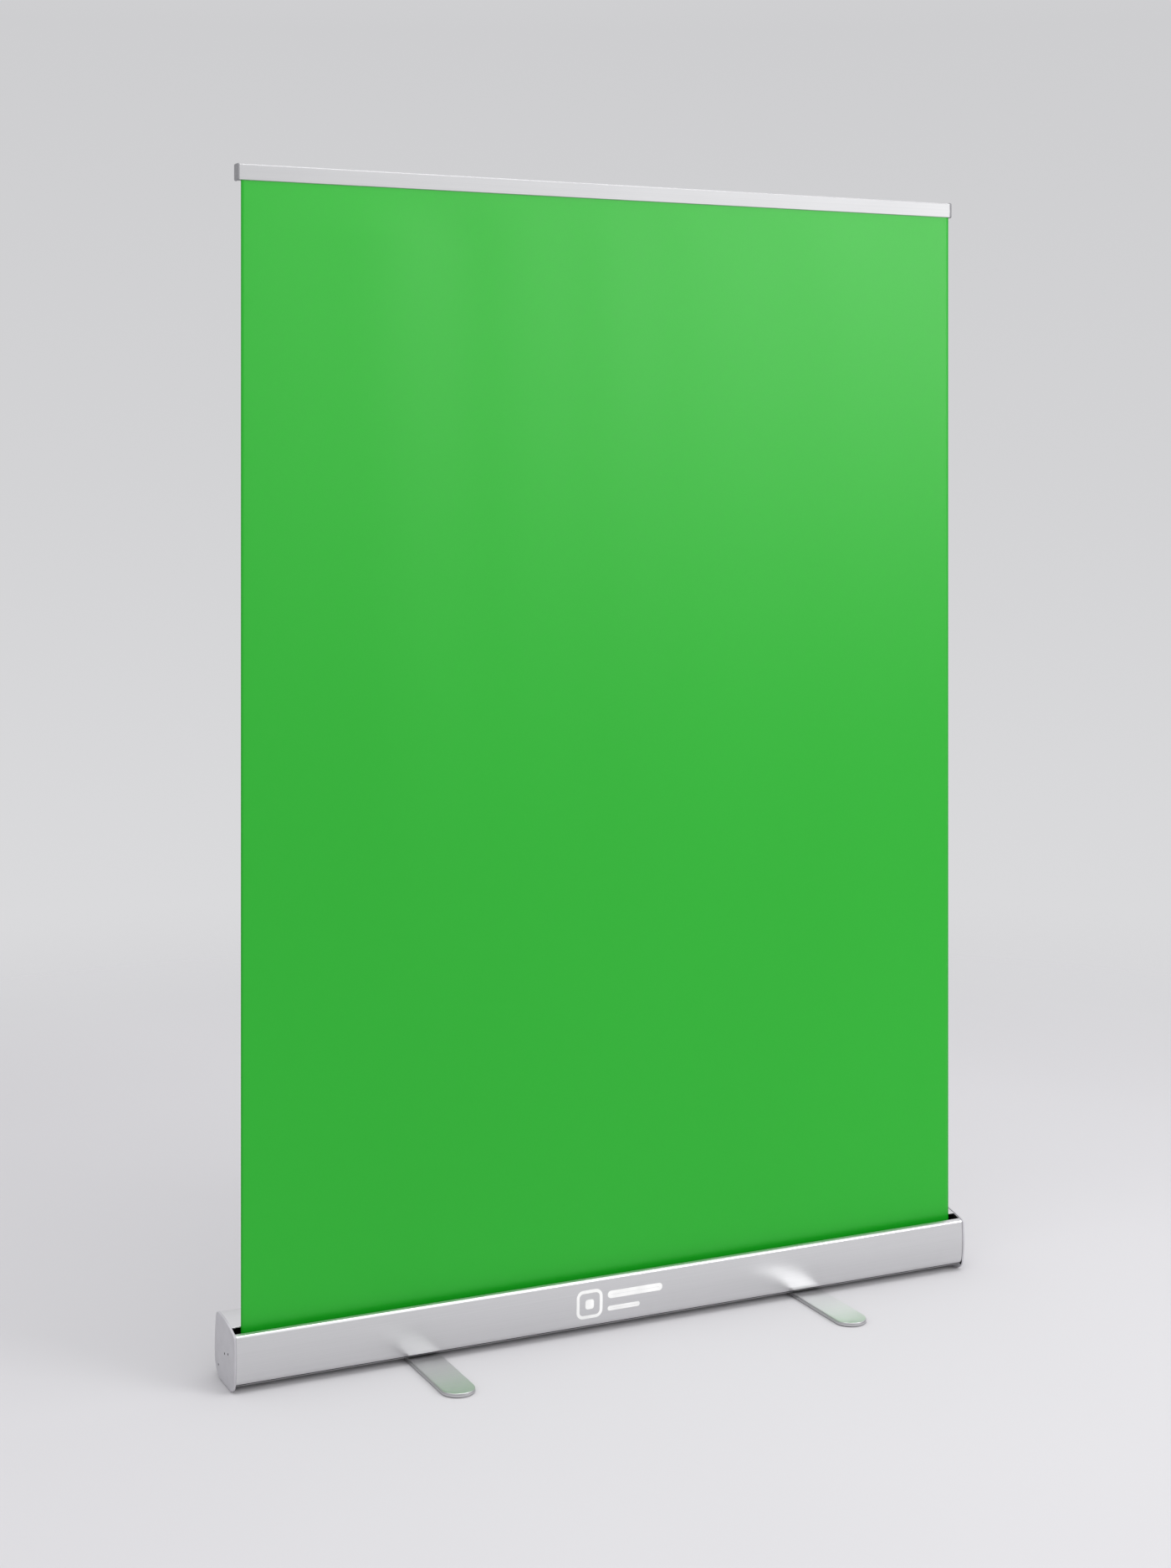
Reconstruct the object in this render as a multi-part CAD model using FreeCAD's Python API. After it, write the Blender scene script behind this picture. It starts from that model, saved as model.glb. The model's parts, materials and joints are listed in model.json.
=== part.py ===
"""Wide roll-up banner stand: a spring-wound banner in an extruded floor cassette, two swing-out feet,
a clamping top rail and two three-section telescopic poles behind the banner.

Millimetres. X runs along the banner, -Y is the front, +Z is up. The origin is on the floor, under the
middle of the cassette, in the vertical plane of the two foot pivots.
"""

import FreeCAD, Part
import math
import os

from FreeCAD import Vector

# ---- Driving dimensions ------------------------------------------------------------------------
# Banner
BANNER_WIDTH = 1500.0
BANNER_VISIBLE = 2045.0        # height shown between the cassette's lip and the top rail
BANNER_THICKNESS = 0.4
BANNER_Y = -33.0               # the plane in which the banner hangs

# Cassette housing: one extrusion with crowned front, back and top walls
HOUSING_PAST_BANNER = 16.0     # at each end
HOUSING_FRONT_Y = -60.3        # foremost point of the crowned front
HOUSING_FRONT_Z = 66.0         # height of that point
HOUSING_BACK_Y = 57.3          # rearmost point of the crowned back
HOUSING_BACK_Z = 46.0
HOUSING_TOP_Z = 117.3          # highest point of the crowned top
HOUSING_TOP_Y = 30.0
HOUSING_BOTTOM_Z = 9.6
HOUSING_WALL = 1.8
CROWN_RADIUS = 270.0           # of the front, back and top walls
FRONT_LIP_RADIUS = 5.5
FRONT_FOOT_RADIUS = 17.0       # corner between front wall and underside
BACK_FOOT_RADIUS = 34.0
BACK_TOP_RADIUS = 12.0
SLOT_WIDTH = 20.0              # of the banner slot in the top wall
SLOT_AHEAD = 16.5              # how far the slot reaches in front of the banner
SLOT_EDGE_RADIUS = 0.7
SCREW_PORT_Y = 34.7            # screw port that runs along the extrusion
SCREW_PORT_Z = 24.8
SCREW_PORT_RADIUS = 4.0

# End caps of the cassette
CAP_THICKNESS = 5.0
CAP_PROUD = 1.0                # how far the cap stands out past the housing's outline
CAP_FLOOR_GAP = 1.0
CAP_FRONT_RADIUS = 20.0
CAP_BACK_RADIUS = 38.0
CAP_EDGE_RADIUS = 1.5
CAP_SEAM = 0.7                 # width of the groove between cap and housing
CAP_SPIGOT_DEPTH = 8.0
CAP_SPIGOT_WALL = 2.0
CAP_SCREW_DIAMETER = 3.0
CAP_SCREW_HEAD_DIAMETER = 4.6
CAP_SCREW_HEAD_HEIGHT = 2.0
CAP_SCREW_SUNK = 0.2           # from the cap's face to the screw head
CAP_SCREW_KEY = 2.2            # across the flats of the hexagon recess
CAP_SCREW_LENGTH = 16.0

# Roller and its spring
ROLLER_AXIS_Z = 59.5
ROLLER_TUBE_RADIUS = 16.0
ROLLER_TUBE_WALL = 1.5
WOUND_THICKNESS = 3.0          # of the turns left on the roller when the banner is up
ROLLER_END_GAP = 13.0          # from the tube's end to the cap's inner face
ROLLER_PLUG_LENGTH = 22.0
ROLLER_FLANGE_THICKNESS = 2.0
SPINDLE_RADIUS = 4.0
SPINDLE_LENGTH = 285.0
SPINDLE_TANG = 5.0             # across the flats of the tang in the bracket
IDLER_PIN_RADIUS = 4.0
IDLER_BUSH_WALL = 1.5
SPRING_WIRE_RADIUS = 1.2
SPRING_RADIUS = 9.0            # to the middle of the wire
SPRING_PITCH = 7.5
SPRING_TURNS = 26
BRACKET_THICKNESS = 2.0
BRACKET_WIDTH = 32.0
BRACKET_HEIGHT = 22.0
BRACKET_SCREW_SPACING = 21.0
BRACKET_TILT = -15.0           # degrees, of the line through a bracket's two screws

# Feet
FOOT_INSET = 360.0             # from each end of the housing to the foot's pivot
FOOT_LENGTH = 480.0
FOOT_WIDTH = 62.0
FOOT_THICKNESS = 7.0
FOOT_EDGE_RADIUS = 1.5
FOOT_GROOVE_DEPTH = 0.8
FOOT_GROOVE_HEIGHT = 1.0
FOOT_GROOVE_RISE = 3.8         # from the foot's underside to the groove
PAD_THICKNESS = 1.5
PAD_LENGTH = 70.0
PAD_INSET = 3.0
PIVOT_BOLT_RADIUS = 4.0
PIVOT_HEAD_RADIUS = 8.5
PIVOT_HEAD_HEIGHT = 2.0
PIVOT_WASHER_RADIUS = 15.0
NUT_PLATE_LENGTH = 90.0
NUT_PLATE_WIDTH = 40.0
NUT_PLATE_THICKNESS = 3.0
NUT_ACROSS_FLATS = 13.0
NUT_HEIGHT = 6.0

# Top rail
RAIL_HEIGHT = 29.0
RAIL_DEPTH = 20.0
RAIL_WALL = 1.6
RAIL_PAST_BANNER = 3.3         # at each end, without the end caps
RAIL_CAP_THICKNESS = 4.0
RAIL_CAP_PROUD = 1.0           # how far the cap stands out past the rail's outline
RAIL_CAP_SPIGOT = 12.0
RAIL_EDGE_RADIUS = 1.2         # of the rail's bottom edges
RAIL_CORNER_RADIUS = 2.5       # of the rail's top edges and its caps
RAIL_MOUTH = 6.0               # opening in the rail's underside, behind its front wall
CLAMP_HEIGHT = 17.0
CLAMP_INSET = 15.0             # from each end of the rail to the clamping strip

# Telescopic poles
POLE_INSET = 360.0             # from each end of the housing to the pole
POLE_FOOT_Z = 90.0
LOWER_TUBE_RADIUS = 11.0
TUBE_WALL = 1.2
TUBE_STEP = 10.0               # by which each tube is shorter than the one it slides in
TUBE_OVERLAP = 70.0            # length of each inner tube still inside the next one out
COLLAR_WALL = 3.5              # outside the lower tube
COLLAR_LENGTH = 36.0
COLLAR_GRIPS = 16
COLLAR_GRIP_RADIUS = 1.3
COLLAR_GRIP_INSET = 5.0
COLLAR_CHAMFER = 1.5
EXPANDER_LENGTH = 18.0
SOCKET_WALL = 2.4
SOCKET_FLOOR = 3.0
SOCKET_FLANGE_WIDTH = 6.6
SOCKET_FLANGE_THICKNESS = 2.5
SOCKET_COLLAR_HEIGHT = 12.0
HOOK_WIDTH = 34.0
HOOK_DEPTH = 22.0
HOOK_HEIGHT = 20.0
HOOK_PIN_RADIUS = 4.0
HOOK_PIN_LENGTH = 12.0
HEAD_NECK_LENGTH = 14.0
HOOK_CORNER_RADIUS = 6.0

# Clearances
SLIDE_GAP = 0.3                # between pieces that turn or slide on each other
FIT_GAP = 0.1                  # between pieces that are pushed together

# ---- Worked out from the driving dimensions ----------------------------------------------------
HALF_BANNER = BANNER_WIDTH / 2
HALF_HOUSING = HALF_BANNER + HOUSING_PAST_BANNER
FOOT_X = HALF_HOUSING - FOOT_INSET
POLE_X = HALF_HOUSING - POLE_INSET
SLOT_FRONT_Y = BANNER_Y - SLOT_AHEAD
SLOT_BACK_Y = SLOT_FRONT_Y + SLOT_WIDTH
FOOT_TOP_Z = PAD_THICKNESS + FOOT_THICKNESS
HALF_TUBE = HALF_HOUSING - ROLLER_END_GAP
ROLLER_BORE_RADIUS = ROLLER_TUBE_RADIUS - ROLLER_TUBE_WALL
WOUND_RADIUS = ROLLER_TUBE_RADIUS + WOUND_THICKNESS
ROLLER_AXIS_Y = BANNER_Y + BANNER_THICKNESS / 2 + SLIDE_GAP + WOUND_RADIUS
MID_TUBE_RADIUS = LOWER_TUBE_RADIUS - TUBE_WALL - SLIDE_GAP
UPPER_TUBE_RADIUS = MID_TUBE_RADIUS - TUBE_WALL - SLIDE_GAP


def circle_height(centre_y, centre_z, radius, y):
    """Height of the upper half of a circle at y."""
    return centre_z + math.sqrt(radius ** 2 - (y - centre_y) ** 2)


def housing_top(y):
    """Height of the crowned top of the housing at y."""
    return circle_height(HOUSING_TOP_Y, HOUSING_TOP_Z - CROWN_RADIUS, CROWN_RADIUS, y)


LIP_Z = housing_top(SLOT_FRONT_Y)
RAIL_BOTTOM_Z = LIP_Z + BANNER_VISIBLE
RAIL_TOP_Z = RAIL_BOTTOM_Z + RAIL_HEIGHT
RAIL_FRONT_Y = BANNER_Y - BANNER_THICKNESS / 2 - SLIDE_GAP - RAIL_WALL
RAIL_BACK_Y = RAIL_FRONT_Y + RAIL_DEPTH
HALF_RAIL = HALF_BANNER + RAIL_PAST_BANNER
COLLAR_RADIUS = LOWER_TUBE_RADIUS + COLLAR_WALL
SOCKET_FLANGE_RADIUS = LOWER_TUBE_RADIUS + SOCKET_WALL + SOCKET_FLANGE_WIDTH
POLE_Y = RAIL_BACK_Y + HOOK_DEPTH / 2
POLE_TOP_Z = RAIL_TOP_Z - HOOK_HEIGHT - SLIDE_GAP
UPPER_TUBE_END = POLE_TOP_Z - HEAD_NECK_LENGTH
MID_TUBE_LENGTH = (UPPER_TUBE_END - POLE_FOOT_Z + 2 * TUBE_OVERLAP) / 3
LOWER_TUBE_END = POLE_FOOT_Z + MID_TUBE_LENGTH + TUBE_STEP
MID_TUBE_START = LOWER_TUBE_END - TUBE_OVERLAP
MID_TUBE_END = MID_TUBE_START + MID_TUBE_LENGTH
UPPER_TUBE_START = MID_TUBE_END - TUBE_OVERLAP

SIDES = {"left": -1, "right": 1}
X_AXIS = Vector(1, 0, 0)
Z_AXIS = Vector(0, 0, 1)


# ---- Shared shapes -----------------------------------------------------------------------------
def box(x0, x1, y0, y1, z0, z1):
    return Part.makeBox(x1 - x0, y1 - y0, z1 - z0, Vector(x0, y0, z0))


def rod_x(radius, x0, x1, y=ROLLER_AXIS_Y, z=ROLLER_AXIS_Z):
    """Cylinder along X between x0 and x1."""
    return Part.makeCylinder(radius, x1 - x0, Vector(x0, y, z), X_AXIS)


def rod_z(radius, x, y, z0, z1):
    return Part.makeCylinder(radius, z1 - z0, Vector(x, y, z0), Z_AXIS)


def ring(outer, inner, z0, z1):
    """Tube on the Z axis."""
    return rod_z(outer, 0, 0, z0, z1).cut(rod_z(inner, 0, 0, z0 - 1, z1 + 1))


def hexagon_rod(across_flats, length):
    """Hexagonal rod standing on the origin."""
    reach = across_flats / math.sqrt(3)
    corners = [Vector(reach * math.cos(a), reach * math.sin(a), 0)
               for a in (math.radians(60 * n) for n in range(7))]
    return Part.Face(Part.makePolygon(corners)).extrude(Vector(0, 0, length))


def mirrored(shape):
    """The same piece for the other side of the stand."""
    return shape.mirror(Vector(0, 0, 0), X_AXIS)


def for_side(shape, side):
    """A piece modelled on the +X side, placed on the asked side."""
    return shape if side > 0 else mirrored(shape)


def on_pole(shape, side):
    """A piece modelled on the Z axis at its own height, moved to its pole."""
    placed = shape.copy()
    placed.translate(Vector(side * POLE_X, POLE_Y, 0))
    return placed


def fillet_edges(shape, radius, wanted):
    """Fillets the edges for which wanted(edge) is true."""
    return shape.makeFillet(radius, [e for e in shape.Edges if wanted(e)])


def along_x(edge, y, z, reach=0.5):
    """True for an edge parallel to X that passes within reach of (y, z)."""
    box_ = edge.BoundBox
    if box_.YLength > 1e-3 or box_.ZLength > 1e-3:
        return False
    return math.hypot(box_.Center.y - y, box_.Center.z - z) < reach


# ---- Cassette section --------------------------------------------------------------------------
def circles_meet(first, second, near):
    """Crossing of two circles (y, z, radius) that lies nearest to a (y, z) point."""
    (y0, z0, r0), (y1, z1, r1) = first, second
    gap = math.hypot(y1 - y0, z1 - z0)
    along = (r0 ** 2 - r1 ** 2 + gap ** 2) / (2 * gap)
    off = math.sqrt(r0 ** 2 - along ** 2)
    uy, uz = (y1 - y0) / gap, (z1 - z0) / gap
    found = [(y0 + along * uy + s * off * uz, z0 + along * uz - s * off * uy) for s in (-1, 1)]
    return min(found, key=lambda p: math.hypot(p[0] - near[0], p[1] - near[1]))


def cassette_section(grow=0.0, bottom_z=HOUSING_BOTTOM_Z, front_radius=FRONT_FOOT_RADIUS,
                     back_radius=BACK_FOOT_RADIUS):
    """Face of the cassette's outline in the plane x = 0, with every wall moved outwards by grow."""
    radius = CROWN_RADIUS + grow
    front = (HOUSING_FRONT_Y + CROWN_RADIUS, HOUSING_FRONT_Z, radius)
    back = (HOUSING_BACK_Y - CROWN_RADIUS, HOUSING_BACK_Z, radius)
    top = (HOUSING_TOP_Y, HOUSING_TOP_Z - CROWN_RADIUS, radius)
    z = bottom_z - grow
    lip = Vector(0, *circles_meet(front, top, (HOUSING_FRONT_Y, HOUSING_TOP_Z)))
    back_top = Vector(0, *circles_meet(back, top, (HOUSING_BACK_Y, HOUSING_TOP_Z)))
    front_foot = Vector(0, front[0] - math.sqrt(radius ** 2 - (z - front[1]) ** 2), z)
    back_foot = Vector(0, back[0] + math.sqrt(radius ** 2 - (z - back[1]) ** 2), z)
    wire = Part.Wire([
        Part.Arc(lip, Vector(0, front[0] - radius, front[1]), front_foot).toShape(),
        Part.LineSegment(front_foot, back_foot).toShape(),
        Part.Arc(back_foot, Vector(0, back[0] + radius, back[1]), back_top).toShape(),
        Part.Arc(back_top, Vector(0, top[0], top[1] + radius), lip).toShape(),
    ])
    block = Part.Face(wire).extrude(X_AXIS)
    corners = (
        (lip, FRONT_LIP_RADIUS),
        (back_top, BACK_TOP_RADIUS),
        (front_foot, front_radius),
        (back_foot, back_radius),
    )
    for corner, corner_radius in corners:
        block = fillet_edges(block, max(corner_radius + grow, 0.5),
                             lambda e: along_x(e, corner.y, corner.z))
    return next(f for f in block.Faces if abs(f.BoundBox.XMax) < 1e-6)


def prism(face, x0, x1):
    """The section extruded between x0 and x1."""
    moved = face.copy()
    moved.translate(Vector(x0, 0, 0))
    return moved.extrude(Vector(x1 - x0, 0, 0))


# ---- Cassette ----------------------------------------------------------------------------------
def screw_port(x0, x1):
    """Round boss for the cap's screw, on a web that joins it to the floor of the housing."""
    boss = rod_x(SCREW_PORT_RADIUS, x0, x1, SCREW_PORT_Y, SCREW_PORT_Z)
    web = box(x0, x1, SCREW_PORT_Y - HOUSING_WALL / 2, SCREW_PORT_Y + HOUSING_WALL / 2,
              HOUSING_BOTTOM_Z + HOUSING_WALL / 2, SCREW_PORT_Z)
    bore = rod_x(CAP_SCREW_DIAMETER / 2 + FIT_GAP, x0 - 1, x1 + 1, SCREW_PORT_Y, SCREW_PORT_Z)
    return boss.fuse(web), bore


def make_housing():
    """Extrusion with a banner slot, a screw port, two pole holes and two pivot holes."""
    outer = prism(cassette_section(), -HALF_HOUSING, HALF_HOUSING)
    inner = prism(cassette_section(-HOUSING_WALL), -HALF_HOUSING - 1, HALF_HOUSING + 1)
    shell = outer.cut(inner)
    shell = shell.cut(box(-HALF_HOUSING - 1, HALF_HOUSING + 1, SLOT_FRONT_Y, SLOT_BACK_Y,
                          LIP_Z - 3 * HOUSING_WALL, HOUSING_TOP_Z + 1))
    for y in (SLOT_FRONT_Y, SLOT_BACK_Y):
        shell = fillet_edges(shell, SLOT_EDGE_RADIUS, lambda e: along_x(e, y, housing_top(y), 0.1))
    boss, bore = screw_port(-HALF_HOUSING, HALF_HOUSING)
    shell = shell.fuse(boss).cut(bore)
    for side in SIDES.values():
        shell = shell.cut(rod_z(LOWER_TUBE_RADIUS + SOCKET_WALL + FIT_GAP, side * POLE_X, POLE_Y,
                                POLE_FOOT_Z, HOUSING_TOP_Z + 1))
        shell = shell.cut(rod_z(PIVOT_BOLT_RADIUS + FIT_GAP, side * FOOT_X, 0,
                                HOUSING_BOTTOM_Z - 1, HOUSING_BOTTOM_Z + HOUSING_WALL + 1))
    return shell.removeSplitter()


def bracket_screw_places():
    """(y, z) of the two screws that hold each axle bracket."""
    angle = math.radians(BRACKET_TILT)
    dy = BRACKET_SCREW_SPACING / 2 * math.cos(angle)
    dz = BRACKET_SCREW_SPACING / 2 * math.sin(angle)
    return [(ROLLER_AXIS_Y - dy, ROLLER_AXIS_Z - dz), (ROLLER_AXIS_Y + dy, ROLLER_AXIS_Z + dz)]


def cap_screw_places():
    return bracket_screw_places() + [(SCREW_PORT_Y, SCREW_PORT_Z)]


def screw_along_x(y, z, shank_length):
    """Socket-headed screw sunk in the +X cap."""
    face_x = HALF_HOUSING + CAP_THICKNESS
    head_x = face_x - CAP_SCREW_SUNK
    seat_x = head_x - CAP_SCREW_HEAD_HEIGHT
    head = rod_x(CAP_SCREW_HEAD_DIAMETER / 2, seat_x, head_x, y, z)
    shank = rod_x(CAP_SCREW_DIAMETER / 2, face_x - shank_length, seat_x, y, z)
    recess = hexagon_rod(CAP_SCREW_KEY, CAP_SCREW_HEAD_HEIGHT / 2)
    recess.rotate(Vector(0, 0, 0), Vector(0, 1, 0), 90)
    recess.translate(Vector(head_x - CAP_SCREW_HEAD_HEIGHT / 2, y, z))
    return head.fuse(shank).cut(recess)


def cap_seam(inner_x):
    """Groove round the cap's inner edge, which shows as a dark line beside the housing."""
    groove = box(inner_x - 1, inner_x + CAP_SEAM, HOUSING_FRONT_Y - CAP_THICKNESS,
                 HOUSING_BACK_Y + CAP_THICKNESS, 0, HOUSING_TOP_Z + CAP_THICKNESS)
    return groove.cut(prism(cassette_section(-HOUSING_WALL / 2), inner_x - 2, inner_x + CAP_SEAM + 1))


def make_end_cap(side):
    """Moulded cap: an outer plate that reaches down beside the feet, and a spigot in the housing."""
    inner_x = HALF_HOUSING
    outer_x = inner_x + CAP_THICKNESS
    outline = cassette_section(CAP_PROUD, CAP_FLOOR_GAP + CAP_PROUD, CAP_FRONT_RADIUS, CAP_BACK_RADIUS)
    plate = prism(outline, inner_x, outer_x)
    plate = fillet_edges(plate, CAP_EDGE_RADIUS,
                         lambda e: e.BoundBox.XMin > outer_x - 1e-3)
    plate = plate.cut(cap_seam(inner_x))
    margin = HOUSING_WALL + 2 * FIT_GAP
    spigot = prism(cassette_section(-margin), inner_x - CAP_SPIGOT_DEPTH, inner_x)
    spigot = spigot.cut(prism(cassette_section(-margin - CAP_SPIGOT_WALL),
                              inner_x - CAP_SPIGOT_DEPTH - 1, inner_x + 1))
    spigot = spigot.cut(box(inner_x - CAP_SPIGOT_DEPTH - 1, inner_x + 1, SLOT_FRONT_Y - margin,
                            SLOT_BACK_Y + margin, ROLLER_AXIS_Z, HOUSING_TOP_Z))
    port_room = SCREW_PORT_RADIUS + FIT_GAP * 2
    spigot = spigot.cut(box(inner_x - CAP_SPIGOT_DEPTH - 1, inner_x + 1, SCREW_PORT_Y - port_room,
                            SCREW_PORT_Y + port_room, HOUSING_BOTTOM_Z, SCREW_PORT_Z + port_room))
    cap = plate.fuse(spigot)
    for y, z in cap_screw_places():
        cap = cap.cut(rod_x(CAP_SCREW_DIAMETER / 2 + FIT_GAP, inner_x - 1, outer_x + 1, y, z))
        cap = cap.cut(rod_x(CAP_SCREW_HEAD_DIAMETER / 2 + FIT_GAP,
                            outer_x - CAP_SCREW_SUNK - CAP_SCREW_HEAD_HEIGHT - FIT_GAP, outer_x + 1, y, z))
    return for_side(cap.removeSplitter(), side)


def make_end_cap_screws():
    """The six cap screws: two through each axle bracket and one in each end's screw port."""
    into_bracket = CAP_THICKNESS + BRACKET_THICKNESS + 2.0
    lengths = [into_bracket, into_bracket, CAP_SCREW_LENGTH]
    one_end = [screw_along_x(y, z, length) for (y, z), length in zip(cap_screw_places(), lengths)]
    return Part.makeCompound(one_end + [mirrored(s) for s in one_end])


# ---- Roller ------------------------------------------------------------------------------------
def make_axle_bracket(side):
    """Steel plate screwed to the cap's inner face, with a flatted hole on the left for the spring's
    spindle and a round one on the right for the idler pin."""
    x1 = HALF_HOUSING
    x0 = x1 - BRACKET_THICKNESS
    plate = box(x0, x1, ROLLER_AXIS_Y - BRACKET_WIDTH / 2, ROLLER_AXIS_Y + BRACKET_WIDTH / 2,
                ROLLER_AXIS_Z - BRACKET_HEIGHT / 2, ROLLER_AXIS_Z + BRACKET_HEIGHT / 2)
    plate = fillet_edges(plate, 4.0, lambda e: e.BoundBox.XLength > BRACKET_THICKNESS / 2)
    plate.rotate(Vector(0, ROLLER_AXIS_Y, ROLLER_AXIS_Z), X_AXIS, BRACKET_TILT)
    for y, z in bracket_screw_places():
        plate = plate.cut(rod_x(CAP_SCREW_DIAMETER / 2 + FIT_GAP, x0 - 1, x1 + 1, y, z))
    if side < 0:
        return mirrored(plate).cut(spindle_tang(FIT_GAP))
    return plate.cut(rod_x(IDLER_PIN_RADIUS + FIT_GAP, x0 - 1, x1 + 1))


def spindle_tang(grow):
    """Flatted end of the spring's spindle, in the left bracket."""
    half = SPINDLE_TANG / 2 + grow
    x0 = -HALF_HOUSING - (1 if grow else -FIT_GAP)
    x1 = -HALF_HOUSING + BRACKET_THICKNESS + (1 if grow else 0)
    slab = box(x0, x1, ROLLER_AXIS_Y - SPINDLE_RADIUS * 2, ROLLER_AXIS_Y + SPINDLE_RADIUS * 2,
               ROLLER_AXIS_Z - half, ROLLER_AXIS_Z + half)
    return rod_x(SPINDLE_RADIUS + grow, x0, x1).common(slab)


SPINDLE_START = -HALF_HOUSING + BRACKET_THICKNESS
SPRING_START = -HALF_TUBE + ROLLER_PLUG_LENGTH + 14.0
SPRING_END = SPRING_START + SPRING_PITCH * SPRING_TURNS
DRIVE_PLUG_START = SPRING_END + SPRING_WIRE_RADIUS + 1.0


def make_spring_spindle():
    """Fixed rod through the spring, with the tang that stops it turning and its anchor collar."""
    rod = rod_x(SPINDLE_RADIUS, SPINDLE_START, SPINDLE_START + SPINDLE_LENGTH)
    anchor_x = SPRING_START - SPRING_WIRE_RADIUS - 0.5
    anchor = rod_x(SPRING_RADIUS + SPRING_WIRE_RADIUS, anchor_x - 8.0, anchor_x)
    return rod.fuse(anchor).fuse(spindle_tang(0)).removeSplitter()


def make_winding_spring():
    """Torsion spring that winds the banner in, at its rest shape."""
    helix = Part.makeHelix(SPRING_PITCH, SPRING_PITCH * SPRING_TURNS, SPRING_RADIUS)
    section = Part.Wire(Part.makeCircle(SPRING_WIRE_RADIUS, Vector(SPRING_RADIUS, 0, 0), Vector(0, 1, 0)))
    spring = Part.Wire(helix.Edges).makePipeShell([section], True, True)
    spring.rotate(Vector(0, 0, 0), Vector(0, 1, 0), 90)
    spring.translate(Vector(SPRING_START, ROLLER_AXIS_Y, ROLLER_AXIS_Z))
    return spring


def make_roller_tube():
    """Aluminium tube with a shallow groove along it for the tail of the banner."""
    tube = rod_x(ROLLER_TUBE_RADIUS, -HALF_TUBE, HALF_TUBE)
    tube = tube.cut(rod_x(ROLLER_BORE_RADIUS, -HALF_TUBE - 1, HALF_TUBE + 1))
    groove = box(-HALF_TUBE - 1, HALF_TUBE + 1, ROLLER_AXIS_Y - 2.0, ROLLER_AXIS_Y + 2.0,
                 ROLLER_AXIS_Z - ROLLER_TUBE_RADIUS - 1, ROLLER_AXIS_Z - ROLLER_TUBE_RADIUS + 0.5)
    return tube.cut(groove)


def flanged_plug(bore_radius):
    """Plug for the +X end of the roller tube, with a flange outside the tube."""
    body = rod_x(ROLLER_BORE_RADIUS - FIT_GAP, HALF_TUBE - ROLLER_PLUG_LENGTH, HALF_TUBE)
    flange = rod_x(ROLLER_TUBE_RADIUS, HALF_TUBE, HALF_TUBE + ROLLER_FLANGE_THICKNESS)
    plug = body.fuse(flange)
    plug = plug.cut(rod_x(bore_radius, HALF_TUBE - ROLLER_PLUG_LENGTH - 1, HALF_TUBE + 10))
    return plug.removeSplitter()


def make_spring_side_plug():
    """Left end plug, which turns on the fixed spindle."""
    return mirrored(flanged_plug(SPINDLE_RADIUS + SLIDE_GAP))


def make_drive_plug():
    """Plug inside the tube that the free end of the spring turns."""
    plug = rod_x(ROLLER_BORE_RADIUS - FIT_GAP, DRIVE_PLUG_START, DRIVE_PLUG_START + ROLLER_PLUG_LENGTH)
    return plug.cut(rod_x(SPINDLE_RADIUS + SLIDE_GAP, DRIVE_PLUG_START - 1,
                          DRIVE_PLUG_START + ROLLER_PLUG_LENGTH + 1))


def make_idler_plug():
    return flanged_plug(IDLER_PIN_RADIUS + SLIDE_GAP + IDLER_BUSH_WALL + FIT_GAP)


def make_idler_bush():
    """Plain bearing in the right plug."""
    x0, x1 = HALF_TUBE - ROLLER_PLUG_LENGTH, HALF_TUBE + ROLLER_FLANGE_THICKNESS
    bush = rod_x(IDLER_PIN_RADIUS + SLIDE_GAP + IDLER_BUSH_WALL, x0, x1)
    return bush.cut(rod_x(IDLER_PIN_RADIUS + SLIDE_GAP, x0 - 1, x1 + 1))


def make_idler_pin():
    """Fixed pin in the right bracket, with a shoulder that seats on the bracket."""
    pin = rod_x(IDLER_PIN_RADIUS, HALF_TUBE - ROLLER_PLUG_LENGTH + 2, HALF_HOUSING - FIT_GAP)
    shoulder = rod_x(IDLER_PIN_RADIUS + 2.5, HALF_HOUSING - BRACKET_THICKNESS - 3.0,
                     HALF_HOUSING - BRACKET_THICKNESS)
    return pin.fuse(shoulder).removeSplitter()


def make_wound_banner():
    """The turns of leader and banner that stay on the roller when the banner is fully up."""
    wound = rod_x(WOUND_RADIUS, -HALF_BANNER, HALF_BANNER)
    return wound.cut(rod_x(ROLLER_TUBE_RADIUS + 0.05, -HALF_BANNER - 1, HALF_BANNER + 1))


# ---- Feet --------------------------------------------------------------------------------------
def stadium(length, width, z0, z1):
    """Bar along Y with full-round ends."""
    straight = (length - width) / 2
    radius = width / 2
    a, b = Vector(-radius, -straight, z0), Vector(-radius, straight, z0)
    c, d = Vector(radius, straight, z0), Vector(radius, -straight, z0)
    wire = Part.Wire([
        Part.LineSegment(a, b).toShape(),
        Part.Arc(b, Vector(0, straight + radius, z0), c).toShape(),
        Part.LineSegment(c, d).toShape(),
        Part.Arc(d, Vector(0, -straight - radius, z0), a).toShape(),
    ])
    return Part.Face(wire).extrude(Vector(0, 0, z1 - z0))


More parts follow.
